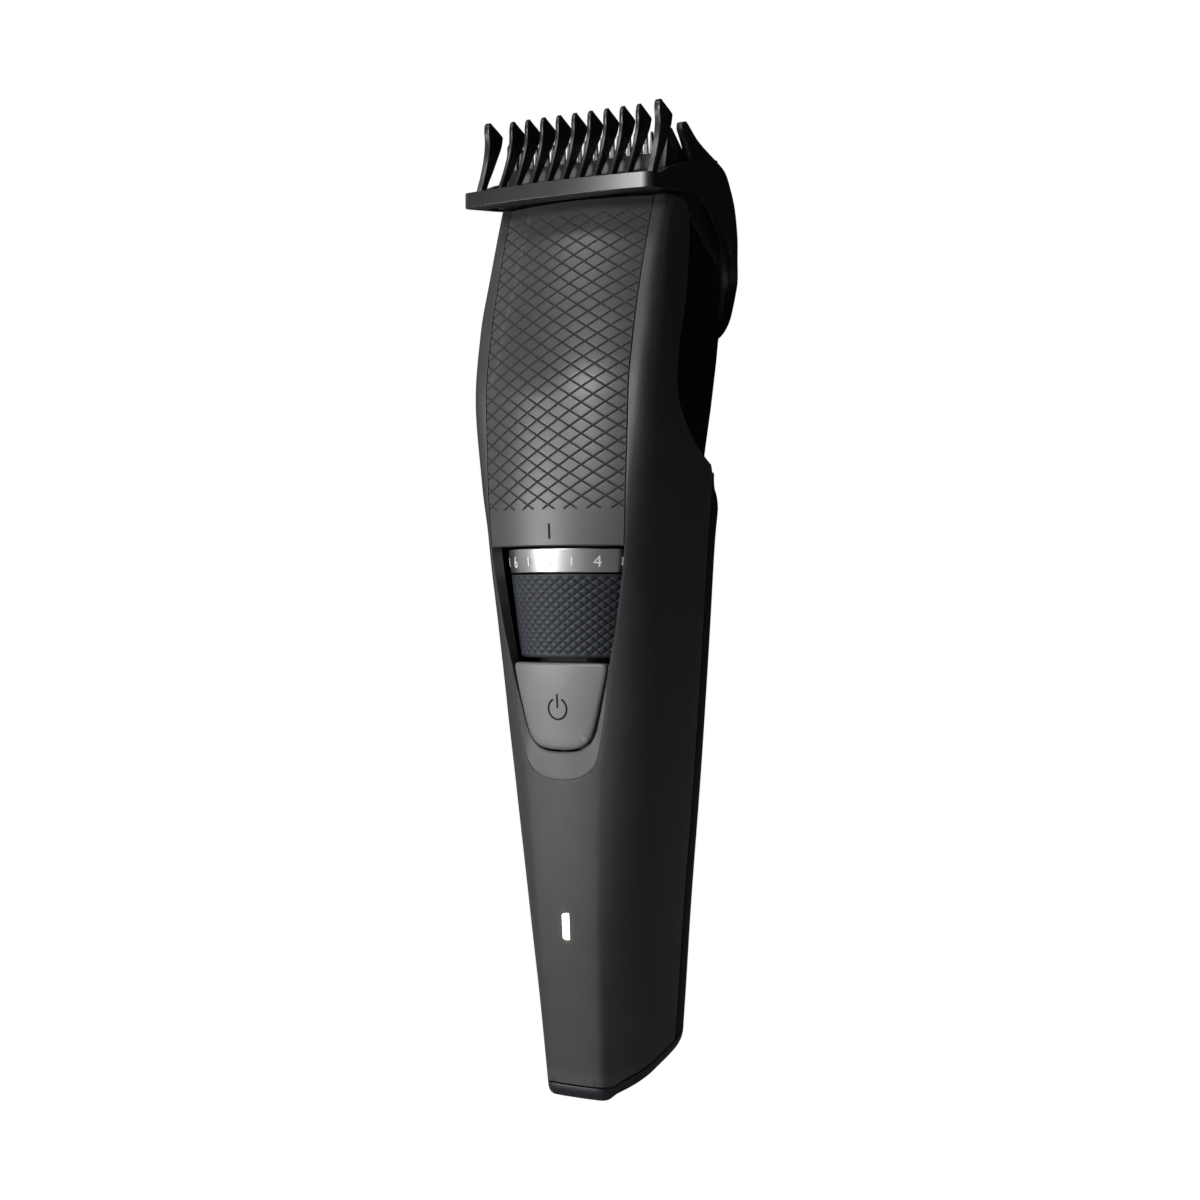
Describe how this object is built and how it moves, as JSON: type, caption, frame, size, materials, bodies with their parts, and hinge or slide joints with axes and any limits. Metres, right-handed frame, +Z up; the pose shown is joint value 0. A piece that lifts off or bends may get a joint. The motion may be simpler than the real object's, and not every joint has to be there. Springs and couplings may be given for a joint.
{
  "type": "beard trimmer",
  "caption": "Cordless beard trimmer with a tapered handle, a height-setting wheel, a push button, a reciprocating blade and a clip-on guide comb.",
  "frame": {"origin": "centre of the whole box in plan, at the lowest point of the base cap", "axes": "+Z up along the handle to the comb, -Y out of the front face with the button and the wheel, +X to the viewer's right when facing the front"},
  "size_m": [0.0376, 0.0441, 0.1669],
  "materials": {
    "shell_black": "fine satin spark texture, moulded",
    "cover_black": "fine satin spark texture, darker",
    "cap_black": "smooth satin, slightly blue",
    "panel_grey": "satin with a raised diamond lattice",
    "button_grey": "smooth satin",
    "neck_black": "plain moulded",
    "grip_rubber": "diamond knurl",
    "ring_metal": "bright, turned",
    "comb_black": "smooth satin",
    "lamp": "lit, warm white",
    "steel": "ground",
    "nickel": "plated strip",
    "brass": "plated",
    "board": "solder mask",
    "inner_plastic": "plain moulded",
    "acetal": "waxy, natural",
    "cell_wrap": "sleeved in printed film"
  },
  "bodies": {
    "housing": {"main_shell": "shell_black", "rear_cover": "cover_black", "base_cap": "cap_black", "front_panel": "panel_grey", "button_bezel": "shell_black", "neck_frame": "neck_black", "wheel_hub": "inner_plastic", "detent_spring": "steel", "motor_can": "steel", "motor_mount": "inner_plastic", "mount_screw_left": "steel", "mount_screw_right": "steel", "shaft_seal": "inner_plastic", "cutter_frame": "comb_black", "guard_blade": "steel", "blade_spring": "steel", "battery_cell": "cell_wrap", "cell_strap_upper": "nickel", "cell_strap_lower": "nickel", "circuit_board": "board", "board_screw_lower": "steel", "board_screw_upper": "steel", "tact_switch": "inner_plastic", "button_dome": "grip_rubber", "light_guide": "lamp", "led_emitter": "lamp", "charging_socket": "inner_plastic", "inlet_pin_left": "brass", "inlet_pin_right": "brass"},
    "button": {"power_button": "button_grey"},
    "wheel": {"zoom_wheel_grip": "grip_rubber", "number_ring": "ring_metal", "helix_sleeve": "acetal"},
    "carriage": {"comb_carriage": "neck_black", "follower_peg": "steel"},
    "comb": {"attachment_comb": "comb_black"},
    "rotor": {"motor_shaft": "steel", "eccentric_cam": "acetal", "drive_pin": "steel"},
    "cutter": {"moving_blade": "steel", "blade_carrier": "acetal"}
  },
  "joints": [
    {"name": "button_press", "type": "slide", "parent": "housing", "child": "button", "axis": [0, 1, 0], "range_m": [0, 0.0006], "stiffness_N_per_m": 400, "springref_m": -0.001},
    {"name": "wheel_turn", "type": "hinge", "parent": "housing", "child": "wheel", "pos_m": [0, -0.0077, 0.0845], "axis": [0, 0, 1], "range_deg": [-162.5, 180.5]},
    {"name": "carriage_lift", "type": "slide", "parent": "housing", "child": "carriage", "axis": [0, 0, 1], "range_m": [-0.0045, 0.005]},
    {"name": "comb_pull_off", "type": "slide", "parent": "carriage", "child": "comb", "axis": [0, 0, 1], "range_m": [0, 0.03]},
    {"name": "rotor_spin", "type": "hinge", "parent": "housing", "child": "rotor", "pos_m": [0, -0.0048, 0.142], "axis": [0, 0, 1], "continuous": true},
    {"name": "blade_stroke", "type": "slide", "parent": "housing", "child": "cutter", "axis": [1, 0, 0], "range_m": [-0.0012, 0.0012]}
  ],
  "couplings": [
    {"joint": "wheel_turn", "follows": "carriage_lift", "rad_per_m": 628.32}
  ]
}
